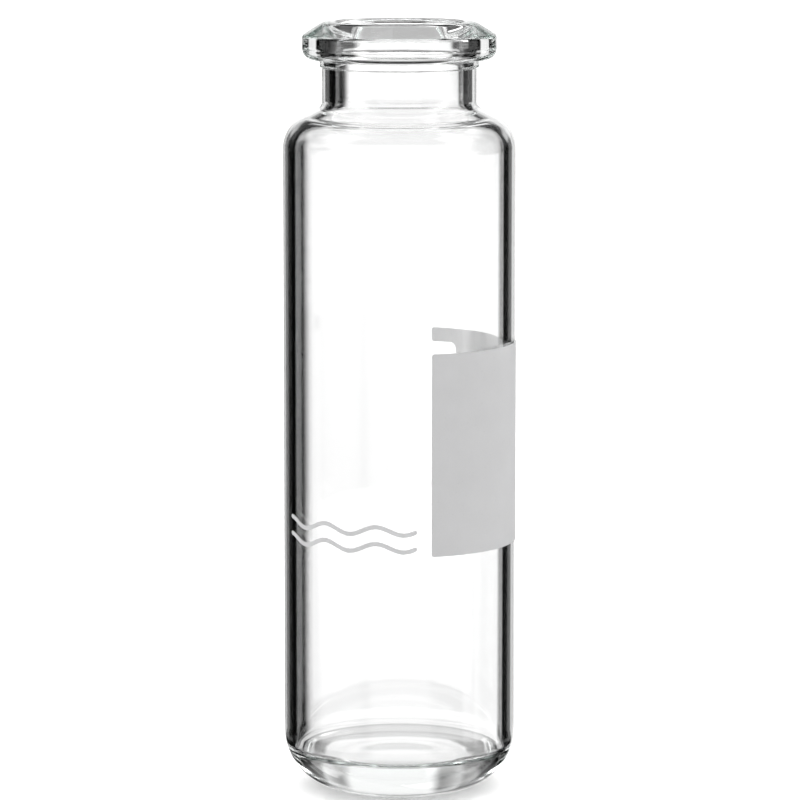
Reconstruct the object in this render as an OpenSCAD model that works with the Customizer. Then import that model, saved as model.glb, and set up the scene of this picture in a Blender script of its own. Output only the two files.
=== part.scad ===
// Crimp-top headspace sample vial: one piece of clear tubing glass with a
// rolled shoulder, a short neck and a bevelled crimp lip, carrying a fired-on
// writing patch and a pair of fired-on wavy level lines.
// Frame: +Z up, origin on the vial's axis in the plane of the foot ring.
// -Y is the front; +X is the middle of the writing patch. Millimetres.

/* [Body] */
// Outside diameter of the straight wall
body_d = 22.75; // [22:0.05:24]
// Overall height, foot ring to lip
height = 75.5; // [68:0.5:90]
// Thickness of the drawn glass wall
wall = 1.175; // [0.9:0.025:1.3]
// Outside radius where the wall rolls under into the foot
heel_r = 5.6; // [4.6:0.1:6]
// Height of the flat inner floor above the foot
floor_z = 3.85; // [3.4:0.05:5]
// Radius of the inner corner between floor and wall
floor_r = 0.8; // [0.4:0.1:1.6]
// How far the middle of the underside is pushed up
punt = 0.12; // [0.06:0.02:0.3]

/* [Shoulder] */
// Slope of the shoulder above horizontal, in degrees
shoulder_slope = 25.5; // [22:0.5:30]
// Outside radius where the wall rolls into the shoulder
shoulder_r = 3.6; // [2.4:0.1:4.2]
// Outside radius of the hollow where shoulder meets neck
root_r = 0.85; // [0.5:0.05:1.4]
// Depth of the neck's foot below the underside of the lip
neck_l = 4.5; // [3.6:0.1:6]

/* [Crimp finish] */
// Outside diameter of the neck
neck_d = 15.1; // [14.9:0.05:15.3]
// Bore of the neck and mouth
bore_d = 12.5; // [12.3:0.05:12.6]
// Outside diameter of the crimp lip
lip_d = 18.95; // [18.8:0.05:20]
// Height of the lip, underside to sealing face
lip_h = 3.68; // [3.5:0.02:4]
// Outside diameter of the flat sealing face
land_d = 14.8; // [14.7:0.05:15.2]
// Slope of the bevel around the sealing face, in degrees
bevel_slope = 32; // [28:0.5:33]
// How far the small collar under the lip stands out from the neck
collar_step = 0.23; // [0.2:0.01:0.5]
// Height of that collar
collar_h = 0.68; // [0.6:0.02:1]

/* [Print] */
// Thickness of the fired-on enamel
print_t = 0.05; // [0.04:0.01:0.1]
// Height of the patch's lower edge above the foot
patch_z = 24.7; // [16:0.1:30]
// Height of the patch
patch_h = 19.65; // [12:0.05:26]
// Angle short of +X at which the patch starts, on the front
patch_from = 74.1; // [50:0.1:80]
// Angle past +X at which the patch's full height ends, on the back
patch_end = 57.2; // [20:0.1:59.9]
// Angle past +X at which its tongue ends
patch_to = 72.1; // [62:0.1:80]
// Height of the tongue that runs on from there
tongue_h = 1.4; // [1:0.05:4]
// Height of the upper level line's middle above the foot
wave_z = 27.25; // [18:0.05:40]
// Spacing of the two level lines
wave_gap = 1.64; // [1.4:0.02:3]
// Rise of a crest above the middle of its line
wave_a = 0.39; // [0.2:0.01:0.6]
// Arc that one wave takes, in degrees
wave_period = 27.5; // [24:0.1:36]
// Where one crest sits, in degrees past the front towards +X
wave_crest = -11.5; // [-24:0.5:0]
// Width of a line
wave_w = 0.42; // [0.3:0.01:0.6]
// Where the lines start, in degrees past the front towards +X
wave_from = -66; // [-74:0.5:-30]
// Where the lines end, in degrees past the front towards +X
wave_to = 7.5; // [0:0.5:12]

/* [Hidden] */
$fn = 96;

r_body = body_d / 2;
r_in = r_body - wall;
r_bore = bore_d / 2;
r_neck = neck_d / 2;
r_lip = lip_d / 2;
r_land = land_d / 2;
r_collar = r_neck + collar_step;
z_lip = height - lip_h;             // underside of the lip
z_root = z_lip - neck_l;            // where the shoulder's slope meets the neck
slope = tan(shoulder_slope);
drop = wall / cos(shoulder_slope);  // vertical thickness of the sloped wall
r_foot = r_body - heel_r - 1.2;     // where the base starts to rise inside the foot ring
r_crown = r_foot - 2.9;             // where it would level out again
bend = tan(atan(punt / 2.9) / 2);   // setback of a corner there for each mm of radius

// The section of the glass, once round, as [radius, height, corner radius].
outside = [
    [0, punt, 0],
    [r_crown, punt, min(0.9 * r_crown, 2) / bend],  // shallow dome
    [r_foot, 0, 0.8 / bend],        // runs softly into the foot ring
    [r_body, 0, heel_r],            // heel
    [r_body, z_root - (r_body - r_neck) * slope, shoulder_r],
    [r_neck, z_root, root_r],
    [r_neck, z_lip - collar_h, 0.1],
    [r_collar, z_lip - collar_h, 0.1],
    [r_collar, z_lip, 0.12],
    [r_lip, z_lip, 1.1],
    [r_lip, height - (r_lip - r_land) * tan(bevel_slope), 0.5],
    [r_land, height, 1.5],
    [r_bore, height, 0.4],
];
inside = [
    [r_bore, z_root + (r_neck - r_bore) * slope - drop, 2.2],
    [r_in, z_root - (r_in - r_neck) * slope - drop, 2.6],
    [r_in, floor_z, floor_r],
    [0, floor_z, 0],
];
section = concat(outside, inside);

function xy(p) = [p[0], p[1]];
function unit(v) = v / norm(v);
function turn(a, b) = a[0] * b[1] - a[1] * b[0];
// For corner i: unit vectors back and on along the outline, and half the corner's angle.
function back(i) = unit(xy(section[i - 1]) - xy(section[i]));
function on(i) = unit(xy(section[i + 1]) - xy(section[i]));
function half(i) = acos(back(i) * on(i)) / 2;
function rounded(i) = section[i][2] > 0;
function setback(i) = section[i][2] / tan(half(i));
function t1(i) = xy(section[i]) + back(i) * setback(i);
function t2(i) = xy(section[i]) + on(i) * setback(i);
function centre(i) = xy(section[i]) + unit(back(i) + on(i)) * section[i][2] / sin(half(i));
function convex(i) = turn(-back(i), on(i)) > 0;

// The outline with each rounded corner cut straight across.
chords = [
    for (i = [0 : len(section) - 1])
        each rounded(i) ? [t1(i), t2(i)] : [xy(section[i])]
];

// The sliver between a corner's straight cut and its arc.
module cap(i) {
    middle = (t1(i) + t2(i)) / 2;
    intersection() {
        translate(centre(i)) circle(r = section[i][2]);
        polygon([t1(i), middle + (xy(section[i]) - middle) * 3, t2(i)]);
    }
}

module section_2d() {
    difference() {
        union() {
            polygon(chords);
            for (i = [1 : len(section) - 2])
                if (rounded(i) && convex(i)) cap(i);
        }
        for (i = [1 : len(section) - 2])
            if (rounded(i) && !convex(i)) cap(i);
    }
}

// The glass: blown and rolled from one length of tube, so one solid.
module vial_glass() {
    color([0.93, 0.96, 0.96, 0.35]) rotate_extrude() section_2d();
}

// A ring sector from angle a to angle b past +X, between two radii and two heights.
module sector(a, b, r0, r1, z0, z1) {
    rotate([0, 0, a])
        rotate_extrude(angle = b - a)
            translate([r0, z0]) square([r1 - r0, z1 - z0]);
}

// The writing patch: a wide field whose far end runs on as a narrow tongue at its top.
module writing_patch() {
    color([0.80, 0.80, 0.80]) difference() {
        sector(-patch_from, patch_to, r_body, r_body + print_t, patch_z, patch_z + patch_h);
        sector(patch_end, patch_to + 8, r_body - 1, r_body + 1,
               patch_z - 1, patch_z + patch_h - tongue_h);
    }
}

// A level line on the unrolled wall: its middle, and a point w to its left.
function wave(a) = [a * PI / 180 * r_body, wave_a * cos(360 * (a - wave_crest) / wave_period)];
function tangent(a) = unit(wave(a + 0.05) - wave(a - 0.05));
function beside(a, w) = wave(a) + w * [-tangent(a)[1], tangent(a)[0]];
// Round end at angle a, from side s round to side -s, in 8 steps.
function cap_end(a, s) = [
    for (k = [1 : 7])
        let (t = tangent(a), q = k * 22.5)
        wave(a) + wave_w / 2 * (cos(q) * s * [-t[1], t[0]] + sin(q) * s * [t[0], t[1]])
];
steps = 60;
function along(k) = wave_from + (wave_to - wave_from) * k / steps;
flat_line = concat(
    [for (k = [0 : steps]) beside(along(k), wave_w / 2)],
    cap_end(wave_to, 1),
    [for (k = [steps : -1 : 0]) beside(along(k), -wave_w / 2)],
    cap_end(wave_from, -1)
);
// The direction the lines are cut from: straight at the middle of their arc.
wave_mid = (wave_from + wave_to) / 2;
function seen(p) = [r_body * sin(p[0] / r_body * 180 / PI - wave_mid), p[1]];
cut_line = [for (p = flat_line) seen(p)];

// The two wavy level lines: a thin ring of enamel cut to each line's outline.
module level_lines() {
    color([0.81, 0.81, 0.81])
        for (drop_z = [0, wave_gap])
            intersection() {
                translate([0, 0, wave_z - drop_z - 3]) difference() {
                    cylinder(h = 6, r = r_body + print_t);
                    translate([0, 0, -1]) cylinder(h = 8, r = r_body);
                }
                rotate([0, 0, wave_mid]) translate([0, 0, wave_z - drop_z])
                    rotate([90, 0, 0]) linear_extrude(height = r_body + 2) polygon(cut_line);
            }
}

vial_glass();
writing_patch();
level_lines();
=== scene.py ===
"""The glass sample vial: a blown and crimp-finished glass body with a fired writing patch and two printed level lines.

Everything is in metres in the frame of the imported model: +Z up, the axis of the vial is Z, -Y is the front and +X the
middle of the writing patch.
"""
import math

import bpy
import numpy as np
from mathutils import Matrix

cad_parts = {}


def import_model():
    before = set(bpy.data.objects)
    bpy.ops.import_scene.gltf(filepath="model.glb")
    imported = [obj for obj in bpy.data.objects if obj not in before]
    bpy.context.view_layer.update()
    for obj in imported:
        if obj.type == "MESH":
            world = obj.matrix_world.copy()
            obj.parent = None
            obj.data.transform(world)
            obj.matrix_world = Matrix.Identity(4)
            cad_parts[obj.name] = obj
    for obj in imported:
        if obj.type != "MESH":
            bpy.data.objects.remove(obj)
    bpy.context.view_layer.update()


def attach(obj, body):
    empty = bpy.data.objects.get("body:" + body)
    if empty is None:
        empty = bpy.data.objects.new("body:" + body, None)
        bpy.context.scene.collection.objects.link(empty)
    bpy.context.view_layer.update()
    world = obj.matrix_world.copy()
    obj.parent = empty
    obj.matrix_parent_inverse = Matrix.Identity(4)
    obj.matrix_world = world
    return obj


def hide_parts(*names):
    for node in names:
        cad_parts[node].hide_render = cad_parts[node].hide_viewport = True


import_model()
MM = 0.001
scene = bpy.context.scene

# ---------------------------------------------------------------- the vial's sizes, in millimetres, as the CAD has them
BODY_R = 11.375
PRINT_T = 0.05
PRINT_GAP = 0.004
OUTSIDE = [
    (0.0, 0.12, 0), (1.675, 0.12, 72.9), (4.575, 0.0, 38.7), (11.375, 0.0, 5.6), (11.375, 65.456, 3.6), (7.55, 67.28, 0.85),
    (7.55, 71.1, 0.1), (7.78, 71.1, 0.1), (7.78, 71.82, 0.12), (9.475, 71.82, 1.1), (9.475, 74.203, 0.5), (7.4, 75.5, 1.5), (6.25, 75.5, 0.4),
]
INSIDE = [(6.25, 66.598, 2.2), (10.2, 64.714, 2.6), (10.2, 3.85, 0.8), (0.0, 3.85, 0)]
PATCH_Z, PATCH_H, PATCH_FROM, PATCH_END, PATCH_TO, TONGUE_H = 24.7, 19.65, -74.1, 57.2, 72.1, 1.4
WAVE_Z, WAVE_GAP, WAVE_A, WAVE_PERIOD, WAVE_CREST, WAVE_W, WAVE_FROM, WAVE_TO = 27.25, 1.64, 0.39, 27.5, -11.5, 0.42, -66.0, 7.5
CAM_X, CAM_D, CAM_Z, AIM_Z, LENS = 0.054, 430.0, 99.6, 38.4, 199.1


# ---------------------------------------------------------------- camera
def camera():
    cam = bpy.data.objects.new("camera", bpy.data.cameras.new("camera"))
    scene.collection.objects.link(cam)
    cam.data.sensor_width = 36.0
    cam.data.lens = LENS
    cam.data.clip_start, cam.data.clip_end = 0.05, 20.0
    at = np.array([CAM_X, -CAM_D, CAM_Z]) * MM
    to = np.array([CAM_X, 0.0, AIM_Z]) * MM
    d = to - at
    cam.location = at
    from mathutils import Vector

    cam.rotation_mode = "QUATERNION"
    cam.rotation_quaternion = Vector(d).to_track_quat("-Z", "Y")
    scene.camera = cam


camera()


# ---------------------------------------------------------------- shapes
def section_points(points, step=4.0, ends=0.12):
    """Points along a section whose corners are rounded, each with the outward normal of the surface there: the section
    runs with the glass on its left. Straight stretches longer than a millimetre get support points spread evenly along
    them, about two millimetres apart."""
    pts = [np.array(p[:2], float) for p in points]
    rad = [p[2] for p in points]
    out = []
    n = len(pts)

    def put(p, t):
        t = t / np.linalg.norm(t)
        out.append((p[0], p[1], t[1], -t[0]))

    legs = []
    arcs = [None] * n
    for i in range(1, n - 1):
        u = pts[i - 1] - pts[i]
        v = pts[i + 1] - pts[i]
        u /= np.linalg.norm(u)
        v /= np.linalg.norm(v)
        turn = math.acos(max(-1, min(1, -u @ v)))
        if rad[i] > 0 and turn > 1e-4:
            t = rad[i] * math.tan(turn / 2)
            arcs[i] = (pts[i] + u * t, pts[i] + v * t, -u, v, turn)
    for i in range(n):
        if arcs[i]:
            a, b, ta, tb, turn = arcs[i]
            k = max(3, int(math.ceil(math.degrees(turn) / step)))
            side = ta[0] * tb[1] - ta[1] * tb[0]
            s = 1.0 if side > 0 else -1.0
            nrm = np.array([-ta[1], ta[0]]) * s
            c = a + nrm * rad[i]
            for j in range(k + 1):
                ang = turn * j / k * s
                ca, sa = math.cos(ang), math.sin(ang)
                tt = np.array([ta[0] * ca - ta[1] * sa, ta[0] * sa + ta[1] * ca])
                p = c - np.array([-tt[1], tt[0]]) * s * rad[i]
                put(p, tt)
        else:
            t = pts[i + 1] - pts[i] if i == 0 else pts[i] - pts[i - 1]
            if i in (0, n - 1):
                t = np.array([1.0, 0.0]) if i == 0 else np.array([-1.0, 0.0])
            put(pts[i], t)
    # support points on the long straight stretches
    full = [out[0]]
    for a, b in zip(out, out[1:]):
        d = math.hypot(b[0] - a[0], b[1] - a[1])
        if d > 1.0:
            k = max(2, int(d / 2.0))
            for j in range(1, k):
                f = j / k
                full.append((a[0] + (b[0] - a[0]) * f, a[1] + (b[1] - a[1]) * f, a[2] + (b[2] - a[2]) * f, a[3] + (b[3] - a[3]) * f))
        full.append(b)
    return full


def lathe(name, prof, n):
    """A closed solid of revolution whose section starts and ends on the axis, with the section's own normals."""
    verts, norms, faces = [], [], []
    rings = []
    for r, z, nr, nz in prof:
        if r < 1e-9:
            rings.append([len(verts)])
            verts.append((0, 0, z * MM))
            norms.append((0, 0, 1 if nz > 0 else -1))
        else:
            ring = []
            for k in range(n):
                a = 2 * math.pi * (k + 0.5) / n
                ring.append(len(verts))
                verts.append((r * MM * math.cos(a), r * MM * math.sin(a), z * MM))
                norms.append((nr * math.cos(a), nr * math.sin(a), nz))
            rings.append(ring)
    for a, b in zip(rings, rings[1:]):
        for k in range(n):
            j = (k + 1) % n
            if len(a) == 1:
                faces.append((a[0], b[j], b[k]))
            elif len(b) == 1:
                faces.append((a[k], a[j], b[0]))
            else:
                faces.append((a[k], a[j], b[j], b[k]))
    me = bpy.data.meshes.new(name)
    me.from_pydata(verts, [], faces)
    me.update()
    for p in me.polygons:
        p.use_smooth = True
    me.normals_split_custom_set_from_vertices(norms)
    ob = bpy.data.objects.new(name, me)
    scene.collection.objects.link(ob)
    return ob


profile = section_points(OUTSIDE + INSIDE)
glass = lathe("blown_glass", profile, 256)
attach(glass, "root")
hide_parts("vial_glass")


def thin_sheet(name, cells, inner, outer):
    """A closed thin sheet from quads that index two matching lists of points: the skin, its back, and a wall along each
    open edge."""
    n = len(inner)
    faces = []
    used = {}
    backs = set()
    for q in cells:
        faces.append(tuple(q))
        backs.add(len(faces))
        faces.append(tuple(i + n for i in reversed(q)))
        for a, b in zip(q, q[1:] + q[:1]):
            used[(a, b)] = used.get((a, b), 0) + 1
    for a, b in list(used):
        if (b, a) not in used:
            faces.append((b, a, a + n, b + n))
    keep = sorted({i for f in faces for i in f})
    new = {i: k for k, i in enumerate(keep)}
    pts = outer + inner
    me = bpy.data.meshes.new(name)
    me.from_pydata([pts[i] for i in keep], [], [tuple(new[i] for i in f) for f in faces])
    me.update()
    for p in me.polygons:
        p.use_smooth = True
        # the faces towards the glass take the second material, a paler copy of the enamel that paints in light coming
        # through the print
        p.material_index = int(p.index in backs)
    me.set_sharp_from_angle(angle=math.radians(50))
    ob = bpy.data.objects.new(name, me)
    scene.collection.objects.link(ob)
    return ob


def writing_patch():
    """The patch as columns of quads: a wide field with small round corners, then a tongue that a hollow round corner joins to
    it. The film thins over its last few hundredths of a millimetre, as fired enamel does."""
    to_mm = math.pi / 180 * BODY_R
    corner, hollow, rim = 0.25, 0.7, 0.035
    r_in, r_out, r_rim = BODY_R + PRINT_GAP, BODY_R + PRINT_T - 0.002, BODY_R + PRINT_T - 0.022
    top, low = PATCH_Z + PATCH_H, PATCH_Z + PATCH_H - TONGUE_H
    split = low - hollow
    s0, s1, s2 = PATCH_FROM * to_mm, PATCH_END * to_mm, PATCH_TO * to_mm

    def corner_columns(a, sign):
        return [a + sign * corner * (1 - math.cos(math.pi / 2 * k / 6)) for k in range(6)] + [a + sign * corner]

    wide = sorted(set(corner_columns(s0, 1) + [s0 + rim] + corner_columns(s1, -1) + [s1 - rim]
                      + list(np.linspace(s0 + corner, s1 - corner, 140))))
    hollow_cols = [s1 + hollow * (1 - math.cos(math.pi / 2 * k / 10)) for k in range(1, 10)] + [s1 + hollow]
    narrow = sorted(set(hollow_cols + list(np.linspace(s1 + hollow, s2 - corner, 14)) + corner_columns(s2, -1) + [s2 - rim]))

    def inset(s, a):
        """How far a round corner that ends at a eats into the height there."""
        d = corner - abs(s - a)
        return corner - math.sqrt(max(corner ** 2 - d ** 2, 0.0)) if d > 0 else 0.0

    n1, n2 = 24, 6
    last = n1 + n2
    outer, inner, cells = [], [], []
    cols = wide + narrow
    for c, s in enumerate(cols):
        in_wide = c < len(wide)
        hi = top - (inset(s, s0) if s < s0 + corner else inset(s, s2))
        if in_wide:
            lo = PATCH_Z + (inset(s, s0) if s < s0 + corner else inset(s, s1))
            zs = [lo] + list(np.linspace(lo + rim, split, n1)) + list(np.linspace(split, hi - rim, n2)[1:]) + [hi]
        else:
            d = max(hollow - (s - s1), 0.0)
            foot = split + math.sqrt(hollow ** 2 - d ** 2) + inset(s, s2)
            zs = [foot] * (n1 + 1) + list(np.linspace(foot + rim, hi - rim, n2 - 1)) + [hi]
        for j, z in enumerate(zs):
            edge = j == last or s in (s0, s2) or (in_wide and (j == 0 or (s == s1 and j <= n1))) or (not in_wide and j == n1)
            a = s / BODY_R
            for pts, r in ((outer, r_rim if edge else r_out), (inner, r_in)):
                pts.append((r * MM * math.cos(a), r * MM * math.sin(a), z * MM))
    count = last + 1
    for c in range(len(cols) - 1):
        for j in range(count - 1):
            if c < len(wide) - 1 or j >= n1:
                p, q = c * count + j, (c + 1) * count + j
                cells.append([p, q, q + 1, p + 1])
    return thin_sheet("enamel_patch", cells, inner, outer)


patch = writing_patch()
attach(patch, "root")
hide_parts("writing_patch")


def wave(name, z0):
    verts, faces = [], []
    half = WAVE_W / 2
    r_in, r_out = BODY_R + PRINT_GAP, BODY_R + PRINT_T - 0.002
    to_mm = math.pi / 180 * BODY_R
    n = 220
    # a printed line is fullest in its middle and thins at both sides
    section = [(-1, r_in), (1, r_in), (1, r_out - 0.024), (0.93, r_out - 0.012), (0.7, r_out - 0.003), (0, r_out), (-0.7, r_out - 0.003),
               (-0.93, r_out - 0.012), (-1, r_out - 0.024)]
    rings = []
    s0, s1 = WAVE_FROM * to_mm, WAVE_TO * to_mm
    ss = [s0 - half + half * (1 - math.cos(math.pi / 2 * k / 10)) for k in range(10)]
    ss += list(np.linspace(s0, s1, n))
    ss += [s1 + half * math.sin(math.pi / 2 * k / 10) for k in range(1, 11)]
    for s in ss:
        a = s / to_mm
        am = min(max(a, WAVE_FROM), WAVE_TO)
        z = z0 + WAVE_A * math.cos(math.radians(360 * (am - WAVE_CREST) / WAVE_PERIOD))
        dz = -WAVE_A * 360 / WAVE_PERIOD * math.pi / 180 * math.sin(math.radians(360 * (am - WAVE_CREST) / WAVE_PERIOD)) / to_mm
        over = max(s0 - s, s - s1, 0)
        if over > 0:
            z += dz * (s - min(max(s, s0), s1))
        h = math.sqrt(max(half * half - over * over, 0)) if over > 0 else half
        h = max(h, 1e-3)
        l = math.hypot(1, dz)
        nx, nz = -dz / l, 1 / l
        ring = []
        for off, rr in section:
            off *= h
            sa = (s + nx * off) / BODY_R
            zz = z + nz * off
            # the front is -Y, and angles grow towards +X
            ring.append(len(verts))
            verts.append((rr * MM * math.sin(sa), -rr * MM * math.cos(sa), zz * MM))
        rings.append(ring)
    for a, b in zip(rings, rings[1:]):
        for k in range(len(section)):
            j = (k + 1) % len(section)
            faces.append((a[k], a[j], b[j], b[k]))
    faces.append(tuple(reversed(rings[0])))
    faces.append(tuple(rings[-1]))
    me = bpy.data.meshes.new(name)
    me.from_pydata(verts, [], faces)
    me.update()
    for p in me.polygons:
        p.use_smooth = True
        # the face towards the glass takes the second material, a paler copy of the enamel that paints in light coming
        # through the print
        p.material_index = int(len(p.vertices) == 4 and p.index % len(section) == 0)
    me.set_sharp_from_angle(angle=math.radians(50))
    ob = bpy.data.objects.new(name, me)
    scene.collection.objects.link(ob)
    return ob


lines = []
for k, z0 in enumerate((WAVE_Z, WAVE_Z - WAVE_GAP)):
    w = wave("level_line_%d" % (k + 1), z0)
    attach(w, "root")
    lines.append(w)
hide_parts("level_lines")


# ---------------------------------------------------------------- node helpers
class Nodes:
    def __init__(self, tree):
        self.t = tree
        self.t.nodes.clear()

    def new(self, kind, **props):
        n = self.t.nodes.new(kind)
        for k, v in props.items():
            setattr(n, k, v)
        return n

    def link(self, a, b):
        self.t.links.new(a, b)

    def math(self, op, a, b=None, c=None, clamp=False):
        n = self.new("ShaderNodeMath", operation=op, use_clamp=clamp)
        for i, v in enumerate((a, b, c)):
            if v is None:
                continue
            if isinstance(v, (int, float)):
                n.inputs[i].default_value = v
            else:
                self.link(v, n.inputs[i])
        return n.outputs[0]

    def ramp(self, v, lo, hi, a=0.0, b=1.0, kind="SMOOTHSTEP"):
        n = self.new("ShaderNodeMapRange", interpolation_type=kind, clamp=True)
        self.link(v, n.inputs["Value"])
        n.inputs["From Min"].default_value = lo
        n.inputs["From Max"].default_value = hi
        n.inputs["To Min"].default_value = a
        n.inputs["To Max"].default_value = b
        return n.outputs[0]


# ---------------------------------------------------------------- light
# Each window is a tall soft box at infinity: azimuth of its middle (0 is behind the vial as the photograph's camera sees it,
# 90 to the right), half its width, softness of its sides, lowest and highest elevation, softness of its ends, brightness.
# STRAIGHT ones are white boards that only light going straight through the glass shows, behind the vial when it is looked
# at from the sides and the back. ROUND ones only show after a reflection, other than the one inside the wall at the body's edges,
# which stay dark from every side. MIRRORED ones show after any reflection.
ANY, STRAIGHT, ROUND, MIRRORED = 0, 1, 2, 3
WINDOWS = [
    (3.8, 16.7, 3.1, -9.0, 15.0, 3.5, 1.05, ANY),
    (3.8, 16.7, 3.1, -19.0, -9.0, 3.5, 0.92, ANY),
    (2.8, 10.0, 2.0, -34.0, -19.0, 3.5, 0.9, ANY),
    (17.9, 57.8, 2.2, 37.7, 57.4, 4.3, 0.95, ANY),
    (-115.9, 22.8, 10.5, -17.2, 6.5, 1.5, 3.0, ROUND),
    (74.3, 18.6, 1.9, -15.0, -4.4, 1.6, 1.67, MIRRORED),
    (103.3, 10.4, 1.9, -15.0, -4.4, 1.6, 1.67, ROUND),
    (153.8, 58.4, 8.7, -18.5, 6.4, 8.6, 2.2, ROUND),
    (4.0, 92.7, 2.7, -83.4, -33.4, 5.5, 0.6, ANY),
    (59.6, 27.8, 11.4, -96.4, -42.3, 3.0, 2.72, ANY),
    (84.6, 17.8, 7.8, -50.6, -34.4, 1.9, 2.97, ANY),
    (-75.8, 16.2, 1.9, -54.6, -33.3, 1.7, 2.99, ANY),
    (-16.2, 133.0, 1.5, 44.3, 86.7, 1.8, 0.15, ANY),
    (-102.9, 17.2, 10.8, 23.5, 62.6, 1.9, 1.78, ANY),
    (105.5, 11.5, 5.0, 22.3, 62.3, 2.3, 2.75, ANY),
    (153.7, 49.5, 4.3, 17.6, 72.0, 9.1, 0.25, ANY),
    (-20.0, 3.0, 2.0, 24.0, 45.0, 4.0, 0.7, ANY),
    (19.6, 3.0, 2.1, 23.1, 54.2, 2.8, 1.17, ANY),
    (4.5, 16.0, 2.3, 13.5, 21.0, 2.0, 0.4, ANY),
    (-173.6, 38.0, 4.9, -14.1, 15.0, 1.5, 1.25, ROUND),
    (-18.0, 7.0, 2.5, 6.0, 14.0, 2.5, 0.6, ANY),
    (27.0, 6.0, 2.5, 6.0, 14.0, 2.5, 0.6, ANY),
    (-45.0, 17.0, 3.0, -35.0, -18.0, 3.0, 1.0, STRAIGHT),
    (45.0, 17.0, 3.0, -35.0, -18.0, 3.0, 1.0, STRAIGHT),
    (180.0, 110.0, 4.0, -35.0, 15.0, 3.5, 1.0, STRAIGHT),
]
AMBIENT = 0.0015
FRONT = 0.8
BACK = 2.0
ABOVE = 0.6


def world():
    w = bpy.data.worlds.new("studio")
    scene.world = w
    w.use_nodes = True
    k = Nodes(w.node_tree)
    co = k.new("ShaderNodeTexCoord")
    sep = k.new("ShaderNodeSeparateXYZ")
    k.link(co.outputs["Generated"], sep.inputs[0])
    az = k.math("MULTIPLY", k.math("ARCTAN2", sep.outputs[0], sep.outputs[1]), 180 / math.pi)
    el = k.math("MULTIPLY", k.math("ARCSINE", sep.outputs[2]), 180 / math.pi)
    path = k.new("ShaderNodeLightPath")
    mirrored = k.math("GREATER_THAN", path.outputs["Glossy Depth"], 0.5)
    once = k.math("COMPARE", path.outputs["Glossy Depth"], 1.0, 0.5)
    wall = k.math("COMPARE", path.outputs["Transmission Depth"], 2.0, 0.5)
    shown = {
        ANY: None,
        STRAIGHT: k.math("SUBTRACT", 1.0, mirrored),
        MIRRORED: mirrored,
        ROUND: k.math("SUBTRACT", mirrored, k.math("MULTIPLY", once, wall)),
    }
    total = None
    for c, half, soft, lo, hi, esoft, power, kind in WINDOWS:
        d = k.math("SUBTRACT", az, c)
        d = k.math("ABSOLUTE", k.math("WRAP", d, 180, -180))
        side = k.ramp(d, half - soft, half + soft, 1.0, 0.0)
        bottom = k.ramp(el, lo - esoft, lo + esoft)
        top = k.ramp(el, hi - esoft, hi + esoft, 1.0, 0.0)
        v = k.math("MULTIPLY", k.math("MULTIPLY", side, bottom), k.math("MULTIPLY", top, power))
        if shown[kind] is not None:
            v = k.math("MULTIPLY", v, shown[kind])
        total = v if total is None else k.math("ADD", total, v)
    total = k.math("ADD", total, AMBIENT)
    # what the glass shows: the windows; what lights the print and the floor: an even soft light; behind it all, white
    sees = k.math("MAXIMUM", path.outputs["Is Transmission Ray"], path.outputs["Is Glossy Ray"])
    fresh = k.math("LESS_THAN", path.outputs["Diffuse Depth"], 0.5)
    sees = k.math("MULTIPLY", sees, fresh)
    back = k.ramp(sep.outputs[1], -1.0, 1.0, FRONT, BACK, "LINEAR")
    lit = k.math("MULTIPLY", back, k.math("ADD", k.ramp(sep.outputs[2], 0.35, 1.0, 0.0, ABOVE), 1.0))
    v = k.math("ADD", k.math("MULTIPLY", total, sees), k.math("MULTIPLY", lit, k.math("SUBTRACT", 1.0, sees)))
    cam = path.outputs["Is Camera Ray"]
    v = k.math("ADD", k.math("MULTIPLY", v, k.math("SUBTRACT", 1.0, cam)), cam)
    bg = k.new("ShaderNodeBackground")
    bg.inputs["Color"].default_value = (1, 1, 1, 1)
    k.link(v, bg.inputs["Strength"])
    out = k.new("ShaderNodeOutputWorld")
    k.link(bg.outputs[0], out.inputs["Surface"])


world()


# ---------------------------------------------------------------- floor
def floor():
    me = bpy.data.meshes.new("floor")
    s = 6.0
    me.from_pydata([(-s, -s, 0), (s, -s, 0), (s, s, 0), (-s, s, 0)], [], [(0, 1, 2, 3)])
    ob = bpy.data.objects.new("floor", me)
    scene.collection.objects.link(ob)
    ob.location.z = -0.00002
    m = bpy.data.materials.new("floor")
    m.use_nodes = True
    k = Nodes(m.node_tree)
    d = k.new("ShaderNodeBsdfDiffuse")
    co = k.new("ShaderNodeTexCoord")
    mottle = k.new("ShaderNodeTexNoise")
    mottle.inputs["Scale"].default_value = 35.0
    mottle.inputs["Detail"].default_value = 6.0
    k.link(co.outputs["Object"], mottle.inputs["Vector"])
    paint = k.new("ShaderNodeMix", data_type="RGBA")
    paint.inputs["A"].default_value = (0.94, 0.94, 0.935, 1)
    paint.inputs["B"].default_value = (0.97, 0.97, 0.97, 1)
    k.link(mottle.outputs[0], paint.inputs["Factor"])
    k.link(paint.outputs["Result"], d.inputs["Color"])
    out = k.new("ShaderNodeOutputMaterial")
    k.link(d.outputs[0], out.inputs["Surface"])
    me.materials.append(m)
    ob.visible_transmission = False
    ob.visible_glossy = False


floor()


# ---------------------------------------------------------------- materials
def noise(k, vector, scale, detail=2.0, roughness=0.5):
    n = k.new("ShaderNodeTexNoise")
    n.inputs["Scale"].default_value = scale
    n.inputs["Detail"].default_value = detail
    n.inputs["Roughness"].default_value = roughness
    k.link(vector, n.inputs["Vector"])
    return n.outputs[0]


def stretched(k, co, x, y, z):
    m = k.new("ShaderNodeMapping")
    m.inputs["Scale"].default_value = (x, y, z)
    k.link(co, m.inputs["Vector"])
    return m.outputs[0]


DRAW, RIPPLE = 0.12, 0.8


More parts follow.
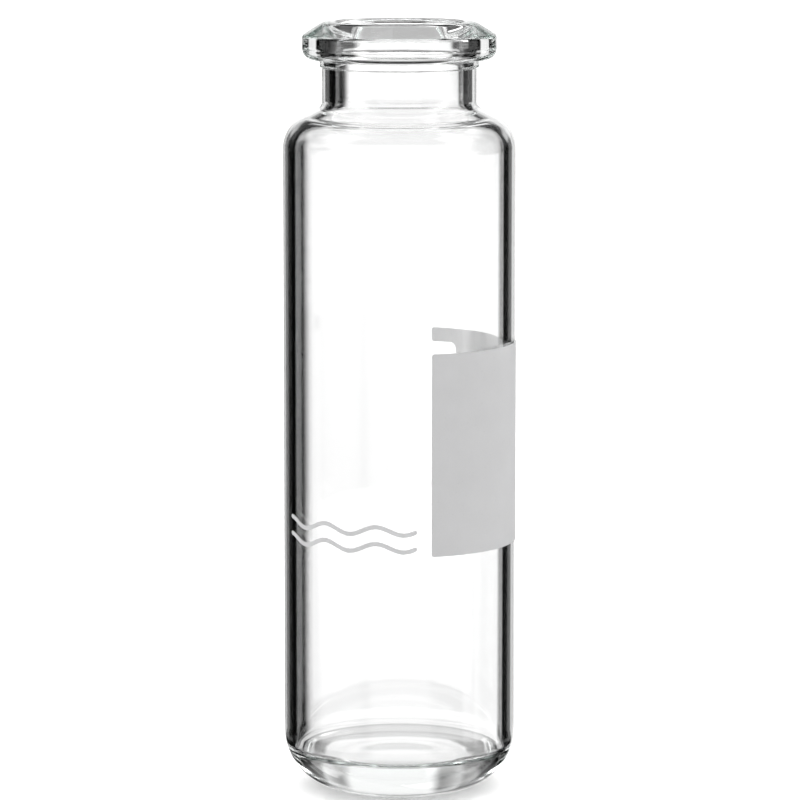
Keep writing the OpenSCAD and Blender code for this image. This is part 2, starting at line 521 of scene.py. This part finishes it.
def glass_material():
    """Tubing glass: faint draw lines run up the wall, and the zones that were softened in the flame - foot, shoulder, neck and
    lip - carry low uneven ripples."""
    m = bpy.data.materials.new("clear_glass")
    m.use_nodes = True
    k = Nodes(m.node_tree)
    b = k.new("ShaderNodeBsdfPrincipled")
    b.inputs["Base Color"].default_value = (1, 1, 1, 1)
    b.inputs["Roughness"].default_value = 0.0
    b.inputs["IOR"].default_value = 1.49
    b.inputs["Transmission Weight"].default_value = 1.0
    co = k.new("ShaderNodeTexCoord").outputs["Object"]
    sep = k.new("ShaderNodeSeparateXYZ")
    k.link(co, sep.inputs[0])
    z = sep.outputs[2]
    draw = noise(k, stretched(k, co, 260, 260, 9), 1.0, 2.0)
    ripple = noise(k, stretched(k, co, 70, 70, 420), 1.0, 3.0, 0.6)
    hot = k.math("ADD", k.ramp(z, 0.0605, 0.066), k.ramp(z, 0.004, 0.009, 1.0, 0.0))
    cold = k.math("SUBTRACT", 1.0, hot, clamp=True)
    height = k.math("ADD", k.math("MULTIPLY", k.math("MULTIPLY", draw, cold), DRAW), k.math("MULTIPLY", k.math("MULTIPLY", ripple, hot), RIPPLE))
    bump = k.new("ShaderNodeBump")
    bump.inputs["Strength"].default_value = 1.0
    bump.inputs["Distance"].default_value = 0.00001
    k.link(height, bump.inputs["Height"])
    k.link(bump.outputs[0], b.inputs["Normal"])
    out = k.new("ShaderNodeOutputMaterial")
    k.link(b.outputs[0], out.inputs["Surface"])
    v = k.new("ShaderNodeVolumeAbsorption")
    v.inputs["Color"].default_value = (0.84, 0.92, 0.89, 1)
    v.inputs["Density"].default_value = 10.0
    k.link(v.outputs[0], out.inputs["Volume"])
    return m


LIGHT_THROUGH = 0.35


def enamel(name, colour):
    """Fired-on matt enamel: a fine powdery grain, a slight unevenness from the screen, and pinholes here and there."""
    m = bpy.data.materials.new(name)
    m.use_nodes = True
    k = Nodes(m.node_tree)
    co = k.new("ShaderNodeTexCoord").outputs["Object"]
    grain = noise(k, co, 9000.0, 3.0, 0.6)
    cloud = noise(k, co, 420.0, 3.0, 0.55)
    pores = k.new("ShaderNodeTexVoronoi")
    pores.inputs["Scale"].default_value = 1500.0
    k.link(co, pores.inputs["Vector"])
    pit = k.ramp(pores.outputs["Distance"], 0.05, 0.16, 1.0, 0.0)
    tone = k.math("ADD", k.math("MULTIPLY", k.math("SUBTRACT", grain, 0.5), 0.5), k.math("MULTIPLY", k.math("SUBTRACT", cloud, 0.5), 0.45))
    tone = k.math("SUBTRACT", k.math("ADD", tone, 0.5), k.math("MULTIPLY", pit, 0.25), clamp=True)
    paint = k.new("ShaderNodeMix", data_type="RGBA")
    paint.inputs["A"].default_value = (*[c * 0.91 for c in colour], 1)
    paint.inputs["B"].default_value = (*[c * 1.09 for c in colour], 1)
    k.link(tone, paint.inputs["Factor"])
    b = k.new("ShaderNodeBsdfPrincipled")
    k.link(paint.outputs["Result"], b.inputs["Base Color"])
    k.link(k.ramp(cloud, 0.3, 0.7, 0.62, 0.78), b.inputs["Roughness"])
    bump = k.new("ShaderNodeBump")
    bump.inputs["Strength"].default_value = 0.5
    bump.inputs["Distance"].default_value = 0.00001
    k.link(k.math("SUBTRACT", grain, pit), bump.inputs["Height"])
    k.link(bump.outputs[0], b.inputs["Normal"])
    t = k.new("ShaderNodeBsdfTranslucent")
    k.link(paint.outputs["Result"], t.inputs["Color"])
    mix = k.new("ShaderNodeMixShader")
    mix.inputs[0].default_value = LIGHT_THROUGH
    k.link(b.outputs[0], mix.inputs[1])
    k.link(t.outputs[0], mix.inputs[2])
    out = k.new("ShaderNodeOutputMaterial")
    k.link(mix.outputs[0], out.inputs["Surface"])
    return m


glass.data.materials.append(glass_material())
# painted light, a stand-in: the side of the enamel towards the glass gets a much paler copy of the same enamel, which
# paints in the light coming through the print from behind, because one tone all through looks too dark behind the wall
PAINTED_BACKLIGHT_TONE = 0.98
patch.data.materials.append(enamel("patch_enamel", (0.55, 0.55, 0.555)))
patch.data.materials.append(enamel("patch_enamel_painted_backlight", (PAINTED_BACKLIGHT_TONE, PAINTED_BACKLIGHT_TONE, PAINTED_BACKLIGHT_TONE)))
line_face = enamel("line_enamel", (0.58, 0.58, 0.585))
# painted light: the lines' sides towards the glass get the same paler copy, standing in for light coming through the
# print from behind
line_painted_backlight = enamel("line_enamel_painted_backlight", (PAINTED_BACKLIGHT_TONE, PAINTED_BACKLIGHT_TONE, PAINTED_BACKLIGHT_TONE))
for w in lines:
    w.data.materials.append(line_face)
    w.data.materials.append(line_painted_backlight)

# ---------------------------------------------------------------- picture
scene.view_settings.view_transform = "Standard"
scene.view_settings.look = "None"
scene.cycles.max_bounces = 64
scene.cycles.transmission_bounces = 64
scene.cycles.glossy_bounces = 64
scene.cycles.diffuse_bounces = 4
scene.cycles.transparent_max_bounces = 16
scene.cycles.sample_clamp_indirect = 0.0
